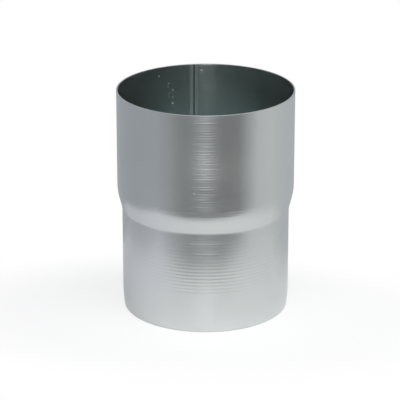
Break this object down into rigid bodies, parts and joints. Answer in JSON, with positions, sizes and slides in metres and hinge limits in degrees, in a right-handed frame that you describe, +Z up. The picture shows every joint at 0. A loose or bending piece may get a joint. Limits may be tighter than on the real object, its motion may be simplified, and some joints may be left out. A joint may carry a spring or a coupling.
{
  "type": "downpipe connector",
  "caption": "Round sheet-metal sleeve with a socket, a sloped shoulder and a ringed spigot, which joins two lengths of rainwater downpipe.",
  "frame": {"origin": "centre of the spigot's end, on the surface that the part stands on", "axes": "+Z up the tube's axis through the socket's mouth, +Y towards the lengthwise seam"},
  "size_m": [0.0824, 0.0824, 0.1051],
  "materials": {
    "sheet": "satin zinc-coated sheet with fine brushing round the tube"
  },
  "bodies": {
    "root": {"connector_body": "sheet"}
  },
  "joints": []
}
